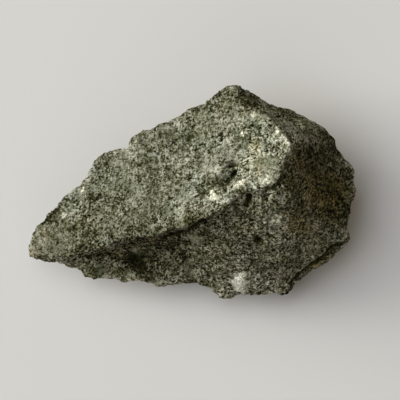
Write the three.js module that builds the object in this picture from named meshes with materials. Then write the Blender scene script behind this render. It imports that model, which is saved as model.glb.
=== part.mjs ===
// A hand specimen of spotted dolerite: one broken wedge of stone, thin at its left end and
// highest near its right, which rests on a small flat spot of its underside.
//
// The stone is drawn as a survey. Named lines of corner points follow its rim, brink, ridges,
// walls and underside; flat facets join neighbouring corners, and every facet is then roughened.
// Millimetres, +Z up, +X towards the thick end, origin at the middle of the resting spot.

import * as THREE from "three";
import { ConvexHull } from "three/addons/math/ConvexHull.js";
import { ImprovedNoise } from "three/addons/math/ImprovedNoise.js";
import { mergeVertices } from "three/addons/utils/BufferGeometryUtils.js";

// The survey is a plan of square cells. The stone is 327 cells long, which sets a cell's size.
const STONE_LENGTH = 101.4;
const CELL = STONE_LENGTH / 327;

// The middle of the resting spot, as the survey's column and row.
const SPOT_COLUMN = 226;
const SPOT_ROW = 197;

// The heart is a point inside that every facet faces away from. The reach is about how far the
// stone extends from it along each axis.
const HEART = new THREE.Vector3(-3, -1, 19);
const REACH = new THREE.Vector3(50, 33, 25);

// Each facet is cut into this many steps along a side before it is roughened.
const FACET_STEPS = 3;

// Waves that roughen the facets: the length of a wave and how far it moves the surface.
const RELIEF_WAVES = [
  { length: 13, depth: 0.9 },
  { length: 6, depth: 0.7 },
  { length: 3.5, depth: 0.4 },
];

const DOLERITE_GREEN_GREY = 0x6d6d58;

// Every line below holds corners as column (towards +X), row (towards -Y) and height in mm.

// The rim is the stone's widest line: from the left tip along the back to the rear point,
// down the right end, and home along the front.
const RIM = [
  [28.5, 250, 13], [32, 236, 13.7], [37, 226, 14.3], [48, 216, 15], [59, 205, 15.6],
  [60, 201, 15.5], [72, 193, 16], [80, 186.5, 16.4], [87, 178, 16.8], [93, 167, 17.2],
  [96.5, 158, 17.5],
  [106, 152.5, 18.5], [121, 150, 20], [127, 148.5, 20.3], [132, 138, 20.5], [144, 130.5, 21.5],
  [157, 124.5, 23], [167, 124.5, 24], [175, 119, 24.3], [186, 114, 25.3], [187, 110, 25],
  [199, 105.5, 26.3], [208, 101, 27], [214, 95, 27.4], [225, 87.3, 28.5], [232.5, 84.3, 30],
  [242, 87.8, 27.6], [253, 93, 27.4], [265, 100.8, 28], [273, 106.5, 28.6], [290, 113.5, 29.4],
  [303, 117.5, 29], [314, 122.5, 28.4], [327, 131.5, 27], [335, 142, 25.6],
  [341, 156, 24], [351, 167, 21.5], [352.7, 176, 21], [355.5, 191, 20], [352, 201, 19.5],
  [349.2, 216, 18.5], [346, 227, 17.5],
  [349.5, 240, 14.5], [340, 250, 13], [328, 261, 12], [312, 269.5, 11.5], [300, 280, 11],
  [290, 289, 10.5], [287, 294, 10],
  [276, 293, 10.5], [262, 295, 10.2], [240, 293.5, 10.5], [228, 299, 9.5], [217, 294, 10],
  [209, 287, 10.5], [196, 283.2, 11], [178, 283.5, 11], [163, 286.5, 10.3], [149, 283, 10.5],
  [141, 280, 11], [125, 282, 10], [112, 278, 10], [103, 278.5, 9.5], [88, 277, 9.5],
  [80, 269, 10], [68, 264.5, 10.5], [56, 262, 10.8], [50, 263.5, 10.5], [38, 260, 10.8],
  [29.5, 256, 11.8],
];

// The brink is the lower edge of the broad upper face. It climbs from the left end, steps back
// round a lump and ends at the summit.
const BRINK = [
  [60, 258, 15.5], [78, 256, 17.8], [95, 249, 20.5], [108, 243, 22.7], [125, 238, 25],
  [140, 236, 27.2], [155, 234, 29.4], [168, 231, 31.3], [182, 228, 33.2], [195, 222, 35],
  [205, 217, 36.2], [215, 213, 37.4], [226, 207, 38.6], [229, 200, 39.2], [232, 191, 40],
  [243, 189, 41.3], [258, 188, 43], [272, 186, 44.6], [279, 180, 45.4], [279, 168, 45.8],
  [280, 162, 46], [286, 157, 46.7], [290, 150, 47],
];

// The rear ridge parts the broad upper face from the rear face, from the rear point to the summit.
const REAR_RIDGE = [
  [235, 100, 32], [245, 110, 35], [262, 112, 37.5], [275, 125, 41.5], [285, 135, 44.5],
  [290, 144, 46.8],
];

// Spot heights on the broad upper face, with a notch and a raised lump beside it near the summit.
const UPPER_FACE = [
  [42, 238, 15], [53, 229, 16], [64, 220, 16.8], [62, 244, 16.9], [78, 238, 18.8],
  [72, 212, 17.4], [84, 200, 17.6], [88, 222, 20.2], [100, 188, 18.7], [104, 208, 21.2],
  [100, 236, 21.7], [112, 171, 19.6], [119, 226, 24], [120, 194, 22.4], [130, 164, 21.8],
  [135, 181, 23.6], [137, 212, 26], [147, 146, 22.8], [150, 197, 27], [152, 221, 28.6],
  [155, 166, 25.2], [166, 142, 25], [167, 211, 30], [170, 182, 28.6], [176, 160, 27.7],
  [183, 214, 32.7], [186, 130, 26.7], [189, 196, 32.4], [193, 175, 31.7], [197, 150, 29.5],
  [204, 118, 28.2], [208, 203, 35.3], [211, 181, 34], [215, 161, 33.2], [217, 138, 31],
  [222, 107, 30], [232, 124, 32.6], [236, 145, 34.8], [250, 130, 37.4], [254, 150, 39.2],
  [266, 138, 41], [270, 156, 43.4],
];
const NOTCH = [[229, 168, 35.8], [228, 181, 36], [236, 163, 35.4], [236, 177, 35.8]];
const LUMP = [[244, 166, 39.4], [246, 182, 40.8], [259, 174, 42.8], [271, 175, 44.8]];

// The foot of the step: a near-vertical drop below the brink, which dies out towards the summit.
const STEP_FOOT = [
  [84, 260, 13.4], [98, 255, 14.8], [112, 250.5, 15.8], [126, 246, 17], [141, 244, 18.6],
  [157, 242, 20.8], [171, 239, 23], [185, 233.5, 26], [198, 227.5, 29], [211, 220, 31.6],
  [223, 213.5, 33.8], [233, 202, 36.4], [244, 196, 38.8], [257, 194, 40.8], [270, 191.5, 43],
];

// Spot heights on the front slope, hollow under the step and fuller towards the rim.
const FRONT_SLOPE = [
  [98, 268, 12], [118, 264, 12.8], [122, 272, 11.6], [141, 263, 13.8], [148, 273, 12.6],
  [163, 260, 15.4], [170, 274, 13.4], [182, 251, 19.6], [186, 265, 16.6], [197, 243, 24],
  [204, 258, 20.6], [205, 274, 15.4], [213, 236, 27.8], [223, 250, 25.4], [222, 267, 20.4],
  [224, 284, 13.8], [230, 226, 31.6], [241, 213, 35], [241, 240, 29.2], [241, 258, 24.2],
  [243, 276, 18.2], [257, 211, 37], [259, 229, 32.6], [260, 249, 27], [262, 268, 21],
  [263, 284, 14.4], [275, 207, 39], [276, 224, 34.4], [279, 242, 29.4], [280, 260, 24],
  [277, 277, 17],
];

// The spur falls from the summit and parts the front slope from the right-hand face.
const SPUR = [[283, 188, 43.8], [289, 195, 41.6], [289.5, 210, 37.2], [288.5, 226, 32.2]];

// Spot heights on the steep right-hand face.
const RIGHT_FACE = [
  [296, 150, 43.6], [295, 166, 41.6], [296, 184, 40.4], [298, 204, 35.8], [298, 221, 31.4],
  [308, 158, 36.4], [310, 178, 34.6], [311, 196, 32.6], [311, 213, 29.6],
  [322, 150, 31.4], [324, 170, 29.6], [325, 189, 28.2], [324, 207, 26.2],
  [338, 168, 25.2], [340, 187, 24], [338, 206, 22.4],
];

// The shoulder crosses below the right-hand face. Under it a corner facet slopes to a short
// undercut, whose lip is the last line.
const SHOULDER = [[300, 231, 29], [311, 228, 27], [322, 225, 24.8], [335, 227, 21.6]];
const CORNER_FACET = [
  [297, 247, 25], [313, 243, 23.2], [328, 240, 21], [297, 265, 19.2], [311, 258, 19.2],
];
const UNDERCUT_LIP = [[343, 239, 18.2], [326, 252, 17.4], [306, 271, 15.6], [290, 283, 14.8]];

// Spot heights on the rear face, a steep strip between the rear ridge and the rim.
const REAR_FACE = [
  [246, 97, 30.2], [258, 103.5, 32], [271, 113, 34], [285, 122, 36.4], [298, 131, 38],
  [304, 124, 33.4], [309, 141, 37.4], [322, 138, 31.6],
];

// Below the rim the walls are broken in flat pieces. This line follows their middle, in and out.
const WALLS = [
  [38, 243, 10], [50, 224, 10.5], [66, 206, 11.5], [82, 193, 9.5], [95, 173, 12.5],
  [104, 161, 11], [126, 155, 14.5], [141, 141, 13], [160, 131, 16.5], [176, 126, 13],
  [190, 117, 18.5], [207, 109, 14], [219, 98, 19.5], [233, 90, 18.5], [249, 97, 14.5],
  [266, 105, 20.5], [284, 115, 15], [300, 121, 21], [316, 130, 15.5], [330, 140, 18.5],
  [339, 156, 13], [347, 170, 16], [348, 184, 11], [350, 195, 14], [344, 210, 10],
  [342, 226, 12.5], [342, 239, 9.5], [329, 253, 7.5], [316, 263, 8.5], [301, 273, 6.4],
  [290, 284, 8], [275, 287, 5.6], [258, 290, 7.5], [243, 287, 5], [228, 293, 6.5],
  [212, 282, 5], [195, 279, 7.5], [176, 279, 5.4], [158, 281, 7.2], [141, 275, 5.6],
  [122, 277, 7.2], [104, 272, 6.6], [88, 271, 7.4], [72, 261, 7.8], [54, 257, 9.2],
  [40, 253, 9.8],
];

// Spot heights on the underside. A thin flake has gone from the left, up to a ledge that
// crosses it; right of the ledge broad faces rise from the resting spot to the walls.
const FLAKE_SCAR = [
  [60, 238, 9], [74, 249, 8.4], [80, 222, 8.8], [96, 204, 8.6], [100, 240, 7.6],
  [108, 184, 9], [119, 216, 7.4], [124, 252, 6.6], [130, 190, 8], [134, 168, 9.4],
];
const UNDER_LEDGE = [
  [142, 246, 5.8], [139, 226, 6.4], [144, 205, 6.8], [150, 186, 7.2], [152, 168, 7.6],
  [149, 247, 3], [147, 226, 3], [153, 206, 3], [159, 187, 3.6], [162, 168, 4.8],
];
const UNDERSIDE = [
  [158, 262, 3.2], [160, 150, 7], [172, 226, 1.6], [178, 196, 1.6], [180, 250, 1.8],
  [182, 150, 4.6], [184, 172, 2.4], [187, 136, 6.6], [198, 267, 3.4], [204, 240, 0.8],
  [206, 155, 2.6], [210, 126, 7], [218, 266, 2.4], [228, 148, 2.4], [232, 118, 7.4],
  [238, 240, 0.7], [240, 272, 3.2], [250, 140, 3.2], [257, 121, 6.6], [262, 240, 1.2],
  [264, 262, 2.6], [272, 150, 2.2], [281, 128, 5.6], [284, 268, 4], [286, 172, 1.4],
  [288, 205, 1.2], [284, 238, 1.6], [300, 140, 6.2], [303, 254, 3.6], [306, 160, 2.8],
  [308, 190, 2], [306, 222, 2.4], [320, 154, 6.6], [322, 174, 4], [324, 205, 3.4],
  [320, 238, 4.6], [336, 184, 6.4], [334, 215, 5.6],
];

// Corners of the resting spot. They sit a little low, and what is below the plane is worn off.
const RESTING_SPOT = [
  [194, 197, -0.6], [199, 180, -0.6], [214, 172, -0.6], [236, 172, -0.6], [252, 178, -0.6],
  [260, 192, -0.6], [257, 208, -0.6], [244, 219, -0.6], [226, 222, -0.6], [206, 219, -0.6],
  [226, 197, -0.6],
];

const corners = [
  ...RIM, ...BRINK, ...REAR_RIDGE, ...UPPER_FACE, ...NOTCH, ...LUMP, ...STEP_FOOT,
  ...FRONT_SLOPE, ...SPUR, ...RIGHT_FACE, ...SHOULDER, ...CORNER_FACET, ...UNDERCUT_LIP,
  ...REAR_FACE, ...WALLS, ...FLAKE_SCAR, ...UNDER_LEDGE, ...UNDERSIDE, ...RESTING_SPOT,
].map(([column, row, height]) =>
  new THREE.Vector3((column - SPOT_COLUMN) * CELL, (SPOT_ROW - row) * CELL, height));

// Neighbouring corners, three by three, as seen from the heart: the convex hull of the directions
// to them, once the stone's length, width and height are evened out.
function facetsAroundHeart(points) {
  const directions = points.map((p) => p.clone().sub(HEART).divide(REACH).normalize());
  const numberOf = new Map(directions.map((direction, i) => [direction, i]));
  const hull = new ConvexHull().setFromPoints(directions);
  return hull.faces.map(({ edge }) =>
    [edge.prev, edge, edge.next].map((side) => numberOf.get(side.head().point)));
}

const noise = new ImprovedNoise();

// Three unlike samples of the noise push a point about in any direction.
function roughened(point, slack) {
  const push = new THREE.Vector3();
  for (const { length, depth } of RELIEF_WAVES) {
    const { x, y, z } = point.clone().divideScalar(length);
    push.x += depth * noise.noise(x + 11.3, y + 4.7, z + 8.1);
    push.y += depth * noise.noise(x + 31.9, y + 27.2, z + 19.6);
    push.z += depth * noise.noise(x + 57.4, y + 42.8, z + 63.5);
  }
  return point.clone().addScaledVector(push, slack);
}

// Whatever is below the resting plane is worn off.
function worn(point) {
  return point.setZ(Math.max(point.z, 0));
}

// A facet's points on a triangular grid, row by row: each is a weighted mean of the facet's three
// corners, and it is roughened the more, the farther it is from any of them.
function facetGrid([a, b, c], steps) {
  const at = (i, j) => {
    const weights = [steps - i - j, i, j].map((share) => share / steps);
    const point = new THREE.Vector3();
    [a, b, c].forEach((corner, k) => point.addScaledVector(corner, weights[k]));
    return worn(roughened(point, 1 - Math.max(...weights) ** 2));
  };
  const triangles = [];
  for (let i = 0; i < steps; i++) {
    for (let j = 0; j < steps - i; j++) {
      triangles.push(at(i, j), at(i + 1, j), at(i, j + 1));
      if (i + j < steps - 1) triangles.push(at(i + 1, j), at(i + 1, j + 1), at(i, j + 1));
    }
  }
  return triangles;
}

function stoneGeometry() {
  const points = facetsAroundHeart(corners)
    .flatMap((facet) => facetGrid(facet.map((i) => corners[i]), FACET_STEPS));
  const geometry = mergeVertices(new THREE.BufferGeometry().setFromPoints(points), 1e-3);
  geometry.computeVertexNormals();
  return geometry;
}

const stone = new THREE.Mesh(
  stoneGeometry(),
  new THREE.MeshStandardMaterial({ color: DOLERITE_GREEN_GREY, roughness: 0.9, metalness: 0 }),
);
stone.name = "stone";

const specimen = new THREE.Group();
specimen.add(stone);

export default specimen;
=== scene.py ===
"""A spotted dolerite hand specimen: a rough green-grey stone on a pale surface, lit from its left.

The stone's skin grows from the solid of the frame. Every facet is divided, the whole is softened
a little, and chips, pits and cracks are then cut into it. Its material holds the grains, spots
and stains, and painted shade and painted light: dark pits and cracks, darker and paler patches.
Lengths are in metres, +Z is up.
"""

import math

import bpy
import numpy as np
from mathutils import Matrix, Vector


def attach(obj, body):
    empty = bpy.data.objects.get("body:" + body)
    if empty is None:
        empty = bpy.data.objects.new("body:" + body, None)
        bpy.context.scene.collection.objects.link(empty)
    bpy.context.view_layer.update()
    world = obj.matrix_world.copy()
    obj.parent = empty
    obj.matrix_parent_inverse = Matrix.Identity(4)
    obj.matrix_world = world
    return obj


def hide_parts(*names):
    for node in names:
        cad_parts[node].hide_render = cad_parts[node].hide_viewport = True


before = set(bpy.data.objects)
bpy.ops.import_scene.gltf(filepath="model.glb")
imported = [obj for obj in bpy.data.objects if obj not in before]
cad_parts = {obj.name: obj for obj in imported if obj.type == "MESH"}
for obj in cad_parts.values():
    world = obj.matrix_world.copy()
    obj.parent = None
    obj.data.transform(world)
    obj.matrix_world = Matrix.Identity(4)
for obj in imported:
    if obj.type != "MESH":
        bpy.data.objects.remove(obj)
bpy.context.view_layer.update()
MM = 0.001


# ---------------------------------------------------------------- the stone's plan
# Places on the stone are given on a plan: column towards +X, row towards -Y, one cell wide.
STONE_LENGTH_MM = 101.4
STONE_CELLS = 327
CELL = STONE_LENGTH_MM / STONE_CELLS * MM
SPOT_COLUMN, SPOT_ROW = 226, 197


def plan(column, row):
    """X and Y of a place on the plan, counted from the middle of the resting spot."""
    return (column - SPOT_COLUMN) * CELL, (SPOT_ROW - row) * CELL


# ---------------------------------------------------------------- noise, as whole arrays
LOW_32_BITS = np.uint64(0xFFFFFFFF)


def lattice_hash(cells, seed):
    """A well mixed 32-bit number for each whole-number cell of a lattice."""
    c = (cells.astype(np.int64) & 0xFFFFFFFF).astype(np.uint64)
    h = c[..., 0] * np.uint64(73856093) ^ c[..., 1] * np.uint64(19349663)
    h ^= c[..., 2] * np.uint64(83492791) ^ np.uint64(seed * 2654435761 % 2**32)
    h &= LOW_32_BITS
    for shift, factor in ((16, 0x7FEB352D), (15, 0x846CA68B)):
        h ^= h >> np.uint64(shift)
        h = (h * np.uint64(factor)) & LOW_32_BITS
    return h ^ (h >> np.uint64(16))


def hash_to_unit(h, turn):
    """One of several numbers from 0 to 1 that a hash gives, chosen by turn."""
    h = (h * np.uint64(2 * turn + 1) + np.uint64(turn * 40503)) & LOW_32_BITS
    h ^= h >> np.uint64(15)
    h = (h * np.uint64(0x2C1B3C6D)) & LOW_32_BITS
    h ^= h >> np.uint64(12)
    return (h & np.uint64(0xFFFFFF)).astype(float) / 0xFFFFFF


def random_directions(h):
    """A unit direction for each hash: height even from -1 to 1, angle even round the circle."""
    up = 2 * hash_to_unit(h, 1) - 1
    angle = 2 * np.pi * hash_to_unit(h, 2)
    out = np.sqrt(np.maximum(0, 1 - up * up))
    return np.stack([out * np.cos(angle), out * np.sin(angle), up], -1)


def smooth_noise(points, length, seed):
    """Gradient noise, about -1 to 1: eased mix of the slopes at the 8 corners of each cell."""
    p = points / length
    base = np.floor(p)
    inside = p - base
    ease = inside**3 * (inside * (inside * 6 - 15) + 10)
    total = np.zeros(len(p))
    for corner in np.ndindex(2, 2, 2):
        slope = random_directions(lattice_hash(base + corner, seed))
        share = np.prod(np.where(corner, ease, 1 - ease), axis=1)
        total += share * np.einsum("ij,ij->i", slope, inside - corner)
    return total * 1.6


def layered_noise(points, length, seed, layers=3):
    """Sum of noises, each half as long and half as strong as the one before."""
    return sum(smooth_noise(points, length / 2**k, seed + k) / 2**k for k in range(layers))


def chips(points, size, seed, tilt=1.0):
    """Broken facets: each cell of a jittered lattice is a plane with its own height and slope.

    Height at a point = the nearest cell centre's random height + tilt times the distance from
    that centre along the cell's random direction. About -1 to 1.
    """
    p = points / size
    base = np.floor(p)
    nearest = np.full(len(p), np.inf)
    height = np.zeros(len(p))
    for step in np.ndindex(3, 3, 3):
        cell = base + np.array(step) - 1
        h = lattice_hash(cell, seed)
        jitter = np.stack([hash_to_unit(h, k) for k in (3, 4, 5)], -1)
        away = p - cell - jitter
        distance = np.einsum("ij,ij->i", away, away)
        plane = (2 * hash_to_unit(h, 6) - 1) * 0.5
        plane += tilt * np.einsum("ij,ij->i", random_directions(h), away)
        closer = distance < nearest
        nearest = np.where(closer, distance, nearest)
        height = np.where(closer, plane, height)
    return height


# ---------------------------------------------------------------- the skin's mesh
def merged_facets(node):
    """Corners and facets of a solid's mesh, with corners at one place made one."""
    mesh = node.data
    points = np.empty(len(mesh.vertices) * 3)
    mesh.vertices.foreach_get("co", points)
    mesh.calc_loop_triangles()
    facets = np.empty(len(mesh.loop_triangles) * 3, np.int32)
    mesh.loop_triangles.foreach_get("vertices", facets)
    return joined(points.reshape(-1, 3), facets.reshape(-1, 3))


def joined(points, facets):
    """The same facets over points of which those within a thousandth of a mm are one."""
    keys = np.round(points / (0.001 * MM)).astype(np.int64)
    _, first, back = np.unique(keys, axis=0, return_index=True, return_inverse=True)
    facets = back.reshape(-1)[facets]
    whole = (facets[:, 0] != facets[:, 1]) & (facets[:, 1] != facets[:, 2])
    whole &= facets[:, 2] != facets[:, 0]
    return points[first], facets[whole]


def divided(points, facets, steps):
    """Each facet as a triangular grid: point (i, j) is its corners' mean weighted
    (steps - i - j, i, j), and neighbouring grid points make the small triangles."""
    grid = [(i, j) for i in range(steps + 1) for j in range(steps + 1 - i)]
    number = {place: k for k, place in enumerate(grid)}
    weights = np.array([(steps - i - j, i, j) for i, j in grid]) / steps
    small = []
    for i, j in grid:
        if i + j < steps:
            small.append((number[i, j], number[i + 1, j], number[i, j + 1]))
        if i + j < steps - 1:
            small.append((number[i + 1, j], number[i + 1, j + 1], number[i, j + 1]))
    fine = np.einsum("gc,fcx->fgx", weights, points[facets])
    starts = np.arange(len(facets))[:, None, None] * len(grid)
    triangles = starts + np.array(small)[None]
    return joined(fine.reshape(-1, 3), triangles.reshape(-1, 3))


def edges_of(facets):
    """Every edge once, as pairs of point numbers."""
    pairs = np.concatenate([facets[:, [0, 1]], facets[:, [1, 2]], facets[:, [2, 0]]])
    return np.unique(np.sort(pairs, axis=1), axis=0)


def softened(points, edges, rounds, share=0.5):
    """Each round moves every point by a share of the way to the mean of its neighbours."""
    count = np.bincount(edges.ravel(), minlength=len(points))[:, None]
    for _ in range(rounds):
        total = np.zeros_like(points)
        for axis in range(3):
            for near, far in ((0, 1), (1, 0)):
                total[:, axis] += np.bincount(
                    edges[:, near], weights=points[edges[:, far], axis], minlength=len(points))
        points = points + share * (total / count - points)
    return points


def outward_normals(points, facets):
    """Unit normals at the points: the sum of their facets' area-weighted normals."""
    a, b, c = (points[facets[:, k]] for k in range(3))
    flat = np.cross(b - a, c - a)
    total = np.zeros_like(points)
    for corner in range(3):
        for axis in range(3):
            total[:, axis] += np.bincount(
                facets[:, corner], weights=flat[:, axis], minlength=len(points))
    return total / np.maximum(np.linalg.norm(total, axis=1, keepdims=True), 1e-20)


FACET_STEPS = 5  # small triangles along each edge of a facet
solid_points, solid_facets = merged_facets(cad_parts["stone"])
points, facets = divided(solid_points, solid_facets, FACET_STEPS)
edges = edges_of(facets)
points = softened(points, edges, rounds=2)
normals = outward_normals(points, facets)

# ---------------------------------------------------------------- pits
# Small hollows, most where a crystal fell out, each painted dark inside as shade, the deeper
# the darker: column, row, half-width, half-length, turn, depth in mm.
PITS = [
    (248, 199.5, 3.2, 7.0, -0.2, 1.3),
    (258.5, 242, 3.4, 6.6, 0.5, 1.8),
    (234, 174, 2.6, 5.0, -0.3, 1.6),
    (233, 165, 6.0, 3.4, -0.1, 2.0),
    (227.5, 181, 3.5, 3.0, 0.3, 0.8),
    (212, 182, 1.8, 5.5, 0.0, 0.8),
    (202, 196, 3.4, 6.0, -0.5, 0.8),
    (196, 202, 2.6, 3.0, 0.0, 0.6),
    (91, 195, 2.6, 3.2, 0.4, 0.8),
    (140, 165, 2.2, 2.6, 0.0, 0.7),
    (169, 168.5, 2.4, 2.6, 0.6, 0.7),
    (151, 151, 2.4, 3.2, 0.0, 0.7),
    (189, 137, 5.5, 3.2, 0.5, 0.8),
    (175, 141, 2.0, 2.4, 0.0, 0.5),
    (221.5, 135, 2.8, 2.0, 0.3, 0.6),
    (120, 170, 3.2, 2.2, 0.2, 0.6),
    (257, 136, 2.6, 2.0, 0.0, 0.6),
    (130, 163, 2.2, 2.4, 0.0, 0.5),
    (227, 208, 3, 3, 0.0, 0.8),
    (133, 262, 9.0, 6.5, 0.0, 0.9),
    (141, 268, 5.0, 6.5, 0.0, 0.8),
]
# Wider hollows, written like the pits. They aren't black inside: the light alone leaves them dark.
HOLLOWS = [
    (221, 181, 11, 6.5, 0.4, 1.6),
    (138, 263, 15, 9, 0.1, 2.2),
    (112, 252, 10, 5, 0.1, 1.2),
    (176, 246, 16, 5, 0.3, 0.8),
]
# Long cracks, painted dark inside as shade like the pits; the second lies under the ledge's edge as
# a painted shadow line. Half-width in cells, depth in mm, then the places they pass through.
GROOVES = [
    (1.7, 1.0, [(349, 241), (341, 244.5), (332, 249), (325, 255), (317, 260), (309, 266),
                (300, 275), (291, 284), (287.5, 291)]),
    (2.4, 1.1, [(160, 238), (172, 235), (184, 232.5), (194, 227.5), (204, 221.5), (214, 216)]),
    (2.8, 0.9, [(258, 192), (264, 190.5), (272, 189), (279, 184), (282, 176), (283, 170)]),
]
# Where the stone's side stands out: column, row, half-width, half-length, turn, height in mm.
SWELLS = [
    (136, 134, 12, 8, 0.7, 0.8),
    (118, 151, 9, 5, 0.1, 0.6),
    (290, 111, 14, 7, -0.4, 0.9),
    (351, 170, 6, 9, 0.0, 0.7),
    (72, 191, 9, 6, 0.8, 0.7),
    (192, 103, 9, 7, 0.5, 0.6),
    (52, 211, 12, 6, 0.85, 0.5),
    (35, 243, 7, 14, 0.0, 0.5),
    (76, 266, 11, 7, -0.3, 1.0),
    (99, 275, 14, 5, 0.0, 0.5),
    (153, 287, 10, 5, 0.0, 0.5),
    (222, 295, 14, 6, 0.0, 0.4),
    (284, 290, 8, 7, 0.0, 0.8),
    (318, 260, 16, 7, 0.6, 0.9),
    (342, 217, 6, 12, 0.0, 0.6),
    (93, 157, 6, 9, 0.0, -0.6),
    (237, 84, 9, 5, 0.0, -0.4),
]


def oval(points, column, row, half_width, half_length, turn):
    """Distance from a place in plan, where 1 is the oval's edge. It ignores height."""
    x, y = plan(column, row)
    dx, dy = points[:, 0] - x, points[:, 1] - y
    across = dx * math.cos(turn) + dy * math.sin(turn)
    along = -dx * math.sin(turn) + dy * math.cos(turn)
    return np.hypot(across / (half_width * CELL), along / (half_length * CELL))


def ovals(marks, feather, ragged, inner, outer):
    """The strongest of several ovals at each point, their edges made ragged by a noise."""
    mask = np.zeros(len(points))
    for column, row, half_width, half_length, turn, strength in marks:
        place = oval(points, column, row, half_width, half_length, turn) + ragged * feather
        mask = np.maximum(mask, strength * faded(place, inner, outer))
    return mask


def beside(points, places):
    """Distance in plan, in cells, from the line through places given as column and row."""
    corners = np.array([plan(*place) for place in places])
    nearest = np.full(len(points), np.inf)
    for start, end in zip(corners[:-1], corners[1:]):
        way = end - start
        away = points[:, :2] - start
        share = np.clip(away @ way / (way @ way), 0, 1)
        away = away - share[:, None] * way
        nearest = np.minimum(nearest, np.hypot(away[:, 0], away[:, 1]))
    return nearest / CELL


def faded(value, full, none):
    """1 where value is at full or beyond, 0 at none or beyond, eased between."""
    t = np.clip((none - value) / (none - full), 0, 1)
    return t * t * (3 - 2 * t)


upward = faded(normals[:, 2], 0.25, 0.0)
pit_depth = np.zeros(len(points))
pit_shade = np.zeros(len(points))
wobble = layered_noise(points, 1.8 * MM, seed=40)
FULL_SHADE_DEPTH = 1.3  # a pit this deep, in mm, is painted fully black inside as shade
for column, row, half_width, half_length, turn, depth in PITS:
    place = oval(points, column, row, half_width, half_length, turn) + 0.5 * wobble
    inside = faded(place, 0.2, 1.5) * upward
    pit_depth = np.maximum(pit_depth, depth * MM * inside)
    shade = min(1, depth / FULL_SHADE_DEPTH)
    pit_shade = np.maximum(pit_shade, shade * faded(place, 0.3, 1.3) * upward)
for column, row, half_width, half_length, turn, depth in HOLLOWS:
    place = oval(points, column, row, half_width, half_length, turn) + 0.25 * wobble
    pit_depth = np.maximum(pit_depth, depth * MM * faded(place, 0.1, 1.3) * upward)
for half_width, depth, places in GROOVES:
    to_end = np.minimum(oval(points, *places[0], 1, 1, 0), oval(points, *places[-1], 1, 1, 0))
    taper = 1 - 0.65 * faded(to_end, 0.0, 12.0)
    place = beside(points, places) / (half_width * taper) + 0.4 * wobble
    pit_depth = np.maximum(pit_depth, depth * taper * MM * faded(place, 0.2, 1.6) * upward)
    shade = min(1, depth / FULL_SHADE_DEPTH) * taper
    pit_shade = np.maximum(pit_shade, shade * faded(place, 0.4, 1.3) * upward)

# ---------------------------------------------------------------- roughness
# Areas of the stone, as ovals on the plan.
REAR_FACE = (287, 116, 58, 17, -0.46)
FRONT_FACE = (250, 250, 60, 40, 0.0)
WEATHERED_END = (62, 240, 48, 20, 0.35)

# 1 where the surface shows in plan, 0 where it doesn't, eased between.
seen_in_plan = faded(-normals[:, 2], -0.15, 0.05)
drift = layered_noise(points, 8 * MM, seed=60)
BRUISES = [  # where a blow crushed the grains
    (262, 165, 22, 26, -0.2, 0.9),
    (268, 132, 16, 20, -0.7, 0.75),
    (212, 202, 26, 12, 0.45, 0.9),
    (160, 222, 42, 8, 0.25, 0.45),
    (240, 178, 16, 16, 0.0, 0.7),
]
facing_west = faded(-normals[:, 0], 0.02, -0.12)
bruise = ovals(BRUISES, drift, 0.4, 0.3, 1.4) * seen_in_plan * facing_west
# The broad upper face is worn more even than the rest.
UPPER_FACE_UP = np.array([-0.22, 0.12, 0.97])
upper_face = faded(-normals @ UPPER_FACE_UP, -0.95, -0.8)
front = ovals([(*FRONT_FACE, 1.0)], drift, 0.3, 0.6, 1.3)
front *= seen_in_plan * faded(normals[:, 1], -0.05, 0.15)
even = np.maximum(upper_face, 0.75 * front)
CALM = [  # fine, even grain
    (42, 240, 18, 18, 0.3, 0.5),
    (268, 163, 12, 6.5, 0.1, 1.2),
    (266, 177, 11, 9, 0.0, 0.8),
    (105, 272, 14, 7, 0.0, 0.6),
    (194, 238.5, 10, 4.5, -0.4, 1.2),
    (215, 116, 24, 18, 0.3, 0.3),
    (178, 272, 36, 10, 0.0, 0.3),
    (325, 188, 26, 42, 0.0, 0.25),
    (*REAR_FACE, 0.55),
]
calm = ovals(CALM, drift, 0.3, 0.6, 1.4) * seen_in_plan
weathered = ovals([(*WEATHERED_END, 0.6)], drift, 0.3, 0.6, 1.3)
fresh = upper_face * np.clip(1 - calm, 0, 1) * (1 - weathered)
fresh = np.maximum(fresh, 0.6 * bruise)

# Heights in mm. The broad waves and chips are lower on walls and on even rock, and the fine
# chips are higher where the rock is bruised.
level = 0.4 + 0.6 * np.abs(normals[:, 2])
relief = level * (0.55 - 0.30 * even) * layered_noise(points, 9 * MM, seed=1)
relief += level * (0.50 - 0.24 * even) * chips(points, 4.6 * MM, seed=11, tilt=0.9)
relief += (0.32 + 0.35 * bruise) * chips(points, 2.2 * MM, seed=12, tilt=1.0)
relief += (0.30 + 0.20 * bruise) * chips(points, 1.1 * MM, seed=13, tilt=0.9)
relief *= (1 - 0.5 * calm) * MM
for column, row, half_width, half_length, turn, height in SWELLS:
    place = oval(points, column, row, half_width, half_length, turn)
    relief += height * MM * faded(place, 0.4, 1.5) * (1 - normals[:, 2]**2)

# Fine steps run along the steep rear face, from its point down to the right.
REAR_FACE_RUN = np.array([0.9, -0.44, -0.1])
run = points @ REAR_FACE_RUN
across = points - run[:, None] * REAR_FACE_RUN
streaks = smooth_noise(across + 0.12 * run[:, None] * REAR_FACE_RUN, 1.3 * MM, seed=31)
rear_face = faded(oval(points, *REAR_FACE), 0.75, 1.1)
rear_face *= faded(-normals[:, 1], -0.2, 0.1) * faded(-normals[:, 2], 0.1, 0.5)
relief += 0.35 * MM * streaks * rear_face

# The whole skin is let out by a hair. This and the roughness fade away at the foot.
LET_OUT = 0.04 * MM
foot = faded(points[:, 2], 0.15 * MM, 1.2 * MM)
points = points + normals * ((relief + LET_OUT) * (1 - foot) - pit_depth)[:, None]
points = softened(points, edges, rounds=1, share=0.25)
points[:, 2] = np.maximum(points[:, 2], 0.0)

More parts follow.
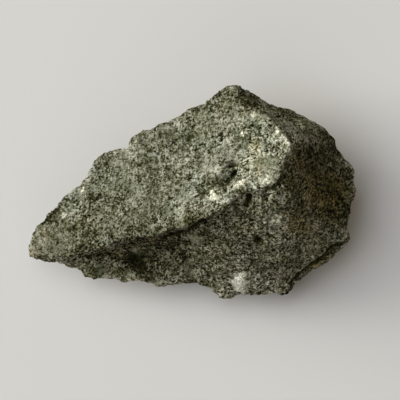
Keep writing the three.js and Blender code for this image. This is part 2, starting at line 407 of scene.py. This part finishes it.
# ---------------------------------------------------------------- markings, as soft masks
# Ovals on the plan: column, row, half-width, half-length, turn, strength.
SPOTS = [  # cream feldspar
    (213.5, 196, 4.6, 6.0, 0.3, 1.6),
    (219, 201, 4.5, 4.0, 0.0, 0.7),
    (253.5, 115, 4.5, 3.2, 0.3, 0.95),
    (251.5, 166.5, 3.0, 4.2, 0.0, 1.2),
    (263, 179, 5.0, 4.5, 0.0, 1.2),
    (277, 131, 4.0, 5.0, -0.3, 0.85),
    (273, 140, 4.5, 3.5, 0.0, 0.85),
    (284, 140, 9.0, 3.0, -0.7, 0.85),
    (289, 150, 3.0, 8.0, 0.0, 0.5),
    (266, 155, 4.0, 2.5, 0.3, 0.8),
    (250.5, 149, 2.8, 8.0, 0.4, 0.7),
    (258, 151, 2.8, 7.0, -0.5, 0.7),
    (239, 184, 3.2, 12.0, -0.95, 1.0),
    (217, 170, 7.0, 4.0, 0.2, 0.8),
    (242.5, 134.5, 4.5, 2.6, 0.4, 0.8),
    (240, 281.5, 7.8, 10.5, 0.1, 2.0),
    (246, 290, 4.0, 4.0, 0.0, 0.8),
    (209, 250, 8.0, 2.6, -0.6, 0.5),
    (285, 222, 4.0, 6.0, 0.2, 0.6),
    (317, 247, 5.0, 3.5, 0.0, 0.5),
    (64, 215.5, 3.2, 3.6, 0.0, 1.0),
    (81.5, 190, 3.2, 4.4, -0.3, 0.95),
    (114, 193, 4.5, 4.5, 0.0, 0.5),
    (181, 208, 3.0, 7.0, -0.6, 0.7),
    (136, 142, 2.0, 4.5, 0.4, 0.6),
    (205, 150, 3.5, 3.0, 0.0, 0.5),
    (92, 152, 2.0, 2.0, 0.0, 0.5),
    (259, 210, 4.0, 6.0, 0.0, 0.5),
]
STAINS = [  # ochre iron stain
    (326, 196, 26, 30, 0.0, 1.0),
    (302, 172, 18, 34, 0.0, 0.7),
    (300, 218, 16, 22, 0.0, 0.75),
    (255, 146, 8, 10, 0.2, 0.55),
    (192, 218, 14, 6, 0.3, 0.5),
    (150, 241, 34, 6, 0.2, 0.55),
    (110, 254, 17, 6, 0.1, 0.7),
    (318, 263, 13, 5, 0.65, 0.8),
    (284, 259, 4, 5, 0.0, 0.6),
    (314, 244, 26, 15, 0.5, 0.25),
    (266, 172, 14, 10, 0.0, 0.2),
]
GREENS = [  # chlorite
    (268, 163, 12, 7, 0.1, 0.6),
    (252, 126, 9, 7, 0.0, 0.7),
    (221, 181, 9, 6, 0.3, 0.8),
    (274, 200, 10, 12, 0.0, 0.6),
    (342, 206, 8, 16, 0.0, 0.7),
    (332, 240, 12, 6, 0.3, 0.7),
    (90, 269, 18, 8, -0.2, 0.7),
    (195, 239, 11, 5, -0.45, 0.5),
    (200, 128, 26, 20, 0.4, 0.4),
    (120, 172, 30, 20, 0.5, 0.35),
    (262, 150, 26, 40, -0.3, 0.35),
    (300, 122, 36, 13, -0.46, 0.5),
]
PAINTED_LIGHT_AND_TONES = [  # painted shade below 0, painted light above 0, with the rock's own darker and paler patches
    (171, 242, 107, 30, 0.18, -1.5),
    (282, 258, 36, 34, 0.0, -1.0),
    (322, 188, 34, 50, 0.0, -2.2),
    (133, 268, 22, 14, 0.0, -2.4),
    (160, 279, 32, 8, 0.0, -1.7),
    (104, 246, 23, 9, 0.1, -1.5),
    (168, 247, 32, 9, 0.25, -0.9),
    (191, 252, 11, 6, 0.0, -1.5),
    (220, 256, 12, 9, 0.0, -1.0),
    (280, 263, 16, 6, 0.0, -0.9),
    (83, 236, 13, 15, 0.2, -1.3),
    (244, 224, 11, 14, 0.0, -1.3),
    (206, 212, 16, 8, 0.4, -0.9),
    (187, 216, 8, 10, 0.0, -0.8),
    (316, 166, 13, 16, 0.0, -1.6),
    (305, 153, 9, 12, 0.0, -1.6),
    (288, 180, 8, 32, 0.05, -2.0),
    (347, 206, 9, 20, 0.0, -1.2),
    (328, 141, 16, 12, 0.0, -1.2),
    (222, 181, 12, 8, 0.4, -1.1),
    (247, 101, 16, 8, -0.5, -2.6),
    (286, 111, 20, 7, -0.4, -1.5),
    (266, 130, 13, 7, 0.3, -1.8),
    (95, 205, 13, 17, 0.3, -2.0),
    (51, 214, 4.5, 15, -0.8, -2.2),
    (100, 226, 22, 14, 0.2, -0.5),
    (127, 189, 15, 13, 0.0, -2.0),
    (145, 172, 14, 14, 0.3, -0.8),
    (154, 155, 22, 9, 0.3, -1.6),
    (212, 159, 10, 6, 0.0, -1.0),
    (240, 114, 16, 8, 0.0, -0.8),
    (297, 139, 13, 8, -0.3, 1.4),
    (308, 190, 8, 26, 0.0, 1.3),
    (304, 234, 20, 9, 0.3, 0.8),
    (272, 226, 24, 14, 0.0, 1.9),
    (264, 282, 22, 10, 0.0, 0.5),
    (216, 276, 24, 9, 0.0, -0.8),
    (222, 132, 20, 14, 0.3, 1.2),
    (190, 144, 12, 10, 0.3, 0.8),
    (194, 176, 20, 9, 0.4, 0.9),
    (78, 199, 8, 12, -0.8, 0.7),
    (194, 238.5, 10, 4.5, -0.4, 2.8),
    (266, 178, 13, 10, 0.0, 1.6),
    (236, 186, 11, 4.5, 0.5, 0.9),
    (277, 146, 13, 10, 0.0, 0.9),
]

fringe = layered_noise(points, 2.0 * MM, seed=50)
spot = ovals(SPOTS, fringe, 0.35, 0.45, 1.35) * seen_in_plan
stain = ovals(STAINS, drift, 0.35, 0.4, 1.3) * seen_in_plan
green = ovals(GREENS, drift, 0.35, 0.4, 1.3) * seen_in_plan

# Painted shade and painted light, summed with the rock's own tone from the ovals.
painted_light_and_tone = np.zeros(len(points))
for *place, strength in PAINTED_LIGHT_AND_TONES:
    painted_light_and_tone += strength * ovals([(*place, 1.0)], drift, 0.35, 0.35, 1.4) * seen_in_plan
painted_light_and_tone += 0.9 * (streaks * rear_face)

# More of the same, anywhere on the sides and underside that the plan doesn't reach.
HIDDEN_SPOTS = 34
unseen = 1 - seen_in_plan
draw = np.random.default_rng(seed=7)
hidden = np.flatnonzero(normals[:, 2] < -0.02)
for centre in points[draw.choice(hidden, HIDDEN_SPOTS, replace=False)]:
    radius = draw.uniform(0.7, 2.2) * MM
    strength = draw.uniform(0.45, 1.0)
    place = np.linalg.norm(points - centre, axis=1) / radius + 0.5 * fringe
    spot = np.maximum(spot, strength * faded(place, 0.25, 1.3))
stain = np.maximum(stain, 0.6 * unseen * faded(-drift, -0.5, 0.0))
green = np.maximum(green, 0.5 * unseen * faded(drift, -0.5, 0.0))
even = np.maximum(even, 0.7 * unseen)
hidden_bruise = faded(-layered_noise(points, 11 * MM, seed=70), -0.5, -0.1)
bruise = np.maximum(bruise, 0.5 * unseen * hidden_bruise)


def stone_mesh():
    """The skin as a mesh: its points, its triangles and one attribute for each mask."""
    mesh = bpy.data.meshes.new("stone_skin")
    mesh.vertices.add(len(points))
    mesh.vertices.foreach_set("co", points.astype(np.float32).ravel())
    mesh.loops.add(facets.size)
    mesh.loops.foreach_set("vertex_index", facets.astype(np.int32).ravel())
    mesh.polygons.add(len(facets))
    mesh.polygons.foreach_set("loop_start", np.arange(0, facets.size, 3, dtype=np.int32))
    mesh.update(calc_edges=True)
    mesh.polygons.foreach_set("use_smooth", np.ones(len(facets), bool))
    masks = {"spot": spot, "bruise": bruise, "stain": stain, "green": green, "painted_light_and_tone": painted_light_and_tone,
             "even": even, "calm": calm, "fresh": fresh, "front": front, "pit_painted_shade": pit_shade}
    for name, mask in masks.items():
        layer = mesh.attributes.new(name, "FLOAT", "POINT")
        layer.data.foreach_set("value", mask.astype(np.float32))
    mesh.validate()
    return mesh


# ---------------------------------------------------------------- dolerite
class Wiring:
    """A short way to place nodes in a material and wire them."""

    def __init__(self, tree):
        self.tree = tree

    def node(self, kind, inputs=None, **settings):
        """A new node, with its settings made first and its inputs fed after."""
        made = self.tree.nodes.new(kind)
        for name, value in settings.items():
            setattr(made, name, value)
        for socket, value in (inputs or {}).items():
            self.feed(made.inputs[socket], value)
        return made

    def feed(self, socket, value):
        """Link the value if it comes from a node, or else store it."""
        if isinstance(value, bpy.types.NodeSocket):
            self.tree.links.new(value, socket)
        else:
            socket.default_value = value

    def maths(self, operation, a, b=0.0, c=0.0, clamp=False):
        """The result of one operation. MULTIPLY_ADD gives a times b plus c."""
        made = self.node("ShaderNodeMath", {0: a, 1: b, 2: c},
                         operation=operation, use_clamp=clamp)
        return made.outputs[0]

    def mix(self, factor, a, b, blend="MIX"):
        """Colour a, with colour b laid over it by a factor."""
        made = self.node("ShaderNodeMix", {0: factor, 6: a, 7: b},
                         data_type="RGBA", blend_type=blend)
        return made.outputs[2]

    def ramp(self, value, stops):
        """The colour that a value has on a run of stops, each a place and a colour."""
        made = self.node("ShaderNodeValToRGB", {0: value})
        elements = made.color_ramp.elements
        while len(elements) < len(stops):
            elements.new(0.5)
        for element, (place, colour) in zip(elements, stops):
            element.position = place
            element.color = (*colour, 1)
        return made.outputs[0]

    def mask(self, name):
        """One of the mesh's masks."""
        return self.node("ShaderNodeAttribute", attribute_name=name).outputs["Fac"]


ROCK_STOPS = [  # from dark pyroxene to pale feldspar
    (0.0, (0.002, 0.0018, 0.0003)),
    (0.2, (0.020, 0.020, 0.004)),
    (0.4, (0.079, 0.079, 0.036)),
    (0.6, (0.188, 0.191, 0.133)),
    (0.8, (0.338, 0.343, 0.260)),
    (1.0, (0.595, 0.600, 0.470)),
]
SPOT_STOPS = [
    (0.2, (0.24, 0.23, 0.16)),
    (0.8, (0.74, 0.72, 0.58)),
    (1.0, (0.95, 0.93, 0.80)),
]
# Tints, which the rock's colour is multiplied by.
COOL_TINT = (1.0, 1.0, 0.975, 1)
WARM_TINT = (1.08, 1.0, 0.935, 1)
WORN_TINT = (1.03, 1.0, 1.035, 1)
FRESH_TINT = (0.965, 0.99, 1.08, 1)
OCHRE_TINT = (0.80, 0.66, 0.31, 1)
CHLORITE_TINT = (0.84, 0.95, 0.86, 1)
PYROXENE_MM = 1.0
CRYSTAL_MM = 0.62
GRAIN_RELIEF = 0.5 * MM


def dolerite():
    """Interlocked light and dark grains, pale spots, a bruised end, a brown stain, and painted shade
    and painted light in patches, pits and cracks.
    """
    material = bpy.data.materials.new("dolerite")
    material.use_nodes = True
    tree = material.node_tree
    tree.nodes.clear()
    w = Wiring(tree)
    place = w.node("ShaderNodeTexCoord").outputs["Object"]
    spot_mask, bruise_mask, stain_mask = w.mask("spot"), w.mask("bruise"), w.mask("stain")
    green_mask, painted_light_and_tone_mask, even_mask = w.mask("green"), w.mask("painted_light_and_tone"), w.mask("even")
    pit_painted_shade_mask, calm_mask = w.mask("pit_painted_shade"), w.mask("calm")
    fresh_mask, front_mask = w.mask("fresh"), w.mask("front")

    def cloud(size_mm, detail=2.0, roughness=0.5):
        """A noise about 0.5, whose largest lumps are about size_mm across."""
        return w.node("ShaderNodeTexNoise", {
            "Vector": place, "Scale": 1000 / size_mm, "Detail": detail,
            "Roughness": roughness}).outputs[0]

    def grains(size_mm):
        """Cells about size_mm across: a random number for each, and the distance from its centre."""
        made = w.node("ShaderNodeTexVoronoi", {"Vector": place, "Scale": 1000 / size_mm})
        pick = w.node("ShaderNodeSeparateColor", {0: made.outputs["Color"]})
        return pick.outputs[0], made.outputs["Distance"]

    def centred(value, strength, onto):
        """onto + strength times how far value is from 0.5."""
        return w.maths("MULTIPLY_ADD", w.maths("SUBTRACT", value, 0.5), strength, onto)

    def above(value, threshold, steepness):
        """0 up to the threshold, then rising to 1."""
        return w.maths("MULTIPLY", w.maths("SUBTRACT", value, threshold), steepness, clamp=True)

    def laths(clot_mm, lath_mm):
        """Stretched noise that lies its own way in every clot of crystals."""
        clot = w.node("ShaderNodeTexVoronoi", {"Vector": place, "Scale": 1000 / clot_mm})
        way = w.node("ShaderNodeVectorMath", {
            0: clot.outputs["Color"], 1: (1.6, 1.6, 2.2), 2: (-0.8, -0.8, -0.2)},
            operation="MULTIPLY_ADD")
        turned = w.node("ShaderNodeVectorRotate", {"Vector": place, "Rotation": way.outputs[0]},
                        rotation_type="EULER_XYZ")
        drawn_out = w.node("ShaderNodeVectorMath", {0: turned.outputs[0], 1: (1.0, 0.3, 1.0)},
                           operation="MULTIPLY")
        return w.node("ShaderNodeTexNoise", {
            "Vector": drawn_out.outputs[0], "Scale": 1000 / lath_mm, "Detail": 1.0}).outputs[0]

    patches = cloud(8.0, detail=3)
    clots = cloud(2.6, detail=2)
    grit = cloud(1.0, detail=4, roughness=0.7)
    dust = cloud(0.5, detail=2, roughness=0.7)
    lath = laths(clot_mm=2.0, lath_mm=0.7)
    cell, from_centre = grains(PYROXENE_MM)
    crystal, _ = grains(CRYSTAL_MM)

    # Dark pyroxene: small round grains in about half of the cells.
    round_grain = above(w.maths("SUBTRACT", 0.62, from_centre), 0.18, 6)
    dark = w.maths("MULTIPLY", above(cell, 0.42, 6), round_grain)

    # How light each grain is, about 0. The broad patches and clots are fainter at the front.
    mottle = centred(crystal, 0.18, 0.04)
    mottle = centred(patches, w.maths("MULTIPLY_ADD", front_mask, -0.39, 0.60), mottle)
    mottle = centred(clots, w.maths("MULTIPLY_ADD", front_mask, -0.39, 0.65), mottle)
    mottle = centred(grit, 1.0, mottle)
    mottle = centred(dust, 0.9, mottle)
    mottle = centred(lath, 1.0, mottle)
    mottle = w.maths("MULTIPLY_ADD", dark, -0.20, mottle)
    # The darkest grains stand out more than the palest.
    mottle = w.maths("SMOOTH_MIN", mottle, 0.30, 0.25)

    # Grains differ more where the rock is bruised and at the front, less where it is even.
    contrast = w.maths("MULTIPLY_ADD", bruise_mask, 0.4, 1.46)
    contrast = w.maths("MULTIPLY_ADD", even_mask, -0.35, contrast)
    contrast = w.maths("MULTIPLY_ADD", front_mask, 0.26, contrast)
    contrast = centred(cloud(5.0, detail=1), 1.6, contrast)
    contrast = w.maths("MULTIPLY", contrast, w.maths("MULTIPLY_ADD", calm_mask, -0.5, 1.0))

    light = w.maths("MULTIPLY_ADD", mottle, contrast, 0.476)
    light = w.maths("MULTIPLY_ADD", even_mask, 0.02, light)
    light = w.maths("MULTIPLY_ADD", bruise_mask, 0.08, light)
    # Painted shade and painted light, and the rock's own darker and paler patches.
    light = w.maths("MULTIPLY_ADD", painted_light_and_tone_mask, 0.10, light, clamp=True)
    # Painted shade: pits and cracks darkened, the deeper the darker.
    light = w.maths("MULTIPLY", light, w.maths("MULTIPLY_ADD", pit_painted_shade_mask, -0.85, 1.0))

    # The rock's colour, with its tints laid over it.
    rock = w.ramp(light, ROCK_STOPS)
    warmth = w.maths("MULTIPLY_ADD", cloud(6.0, detail=3, roughness=0.6), 2.8, -0.9, clamp=True)
    rock = w.mix(1.0, rock, w.mix(warmth, COOL_TINT, WARM_TINT), "MULTIPLY")
    rock = w.mix(1.0, rock, w.mix(fresh_mask, WORN_TINT, FRESH_TINT), "MULTIPLY")
    uneven = w.maths("MULTIPLY_ADD", clots, 1.6, -0.1)
    for mask, tint in ((stain_mask, OCHRE_TINT), (green_mask, CHLORITE_TINT)):
        rock = w.mix(w.maths("MULTIPLY", mask, uneven, clamp=True), rock, tint, "MULTIPLY")

    # Cream feldspar, which the grains break up at the edge of each spot.
    white = centred(grit, 1.5, w.maths("MULTIPLY_ADD", spot_mask, 1.7, -0.4))
    white = centred(lath, 1.2, white)
    veins = centred(grit, 1.2, centred(lath, 2.0, w.maths("MULTIPLY_ADD", spot_mask, 0.30, 0.20)))
    veins = centred(dust, 1.2, veins)
    feldspar = w.ramp(veins, SPOT_STOPS)
    rock = w.mix(w.maths("MULTIPLY", white, spot_mask, clamp=True), rock, feldspar)

    # The finest grain, too small for the mesh.
    height = w.maths("MULTIPLY_ADD", grit, 1.0, w.maths("MULTIPLY", dust, 0.5))
    height = w.maths("MULTIPLY_ADD", crystal, 0.25, height)
    bump = w.node("ShaderNodeBump", {"Strength": 1.0, "Distance": GRAIN_RELIEF, "Height": height})
    shader = w.node("ShaderNodeBsdfPrincipled", {
        "Base Color": rock, "Roughness": 0.85, "Normal": bump.outputs[0]})
    shader.inputs["Specular IOR Level"].default_value = 0.08
    w.node("ShaderNodeOutputMaterial", {"Surface": shader.outputs[0]})
    return material


skin = bpy.data.objects.new("dolerite_stone", stone_mesh())
bpy.context.scene.collection.objects.link(skin)
skin.data.materials.append(dolerite())
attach(skin, "root")
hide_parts("stone")

# ---------------------------------------------------------------- floor, light and camera
FLOOR_HALF_WIDTH = 6.0
PAPER_COLOUR = (0.615, 0.600, 0.582, 1)


def floor_sheet():
    """A wide level square under the stone."""
    half = FLOOR_HALF_WIDTH
    mesh = bpy.data.meshes.new("floor")
    mesh.from_pydata([(-half, -half, 0), (half, -half, 0), (half, half, 0), (-half, half, 0)],
                     [], [(0, 1, 2, 3)])
    material = bpy.data.materials.new("pale_paper")
    material.use_nodes = True
    shader = material.node_tree.nodes["Principled BSDF"]
    shader.inputs["Base Color"].default_value = PAPER_COLOUR
    shader.inputs["Roughness"].default_value = 0.9
    shader.inputs["Specular IOR Level"].default_value = 0.1
    mesh.materials.append(material)
    sheet = bpy.data.objects.new("floor", mesh)
    bpy.context.scene.collection.objects.link(sheet)


def lamp(name, azimuth, elevation, distance, size, watts, colour):
    """A square area light that looks at the stone. Its azimuth counts from +X, in degrees."""
    data = bpy.data.lights.new(name, "AREA")
    data.shape = "SQUARE"
    data.size = size
    data.energy = watts
    data.color = colour
    thing = bpy.data.objects.new(name, data)
    a, e = math.radians(azimuth), math.radians(elevation)
    towards = Vector((math.cos(a) * math.cos(e), math.sin(a) * math.cos(e), math.sin(e)))
    thing.location = towards * distance
    thing.rotation_euler = (-thing.location).to_track_quat("-Z", "Y").to_euler()
    bpy.context.scene.collection.objects.link(thing)


floor_sheet()
lamp("window", azimuth=163, elevation=17, distance=3.0, size=1.8, watts=98.0,
     colour=(1.0, 1.0, 0.89))
lamp("skylight", azimuth=153, elevation=55, distance=2.5, size=3.0, watts=67.0,
     colour=(0.86, 0.92, 1.0))
lamp("fill", azimuth=262, elevation=34, distance=2.5, size=2.5, watts=12.0,
     colour=(0.75, 0.84, 1.0))

ROOM_COLOUR = (1.0, 0.78, 0.46, 1)
ROOM_STRENGTH = 0.17
world = bpy.data.worlds.new("room")
world.use_nodes = True
background = world.node_tree.nodes["Background"]
background.inputs["Color"].default_value = ROOM_COLOUR
background.inputs["Strength"].default_value = ROOM_STRENGTH
bpy.context.scene.world = world
bpy.context.scene.view_settings.view_transform = "Standard"

# The camera looks straight down. Its frame holds the whole plan at about the rim's mean level.
PLAN_CELLS = 400
FRAME_WIDTH = PLAN_CELLS * CELL
CAMERA_HEIGHT = 3.0
RIM_LEVEL = 18 * MM
SENSOR_WIDTH = 36
camera_data = bpy.data.cameras.new("camera")
camera_data.sensor_width = SENSOR_WIDTH
camera_data.lens = SENSOR_WIDTH * (CAMERA_HEIGHT - RIM_LEVEL) / FRAME_WIDTH
camera_data.clip_end = 50
camera = bpy.data.objects.new("camera", camera_data)
camera.location = (*plan(PLAN_CELLS / 2, PLAN_CELLS / 2), CAMERA_HEIGHT)
bpy.context.scene.collection.objects.link(camera)
bpy.context.scene.camera = camera
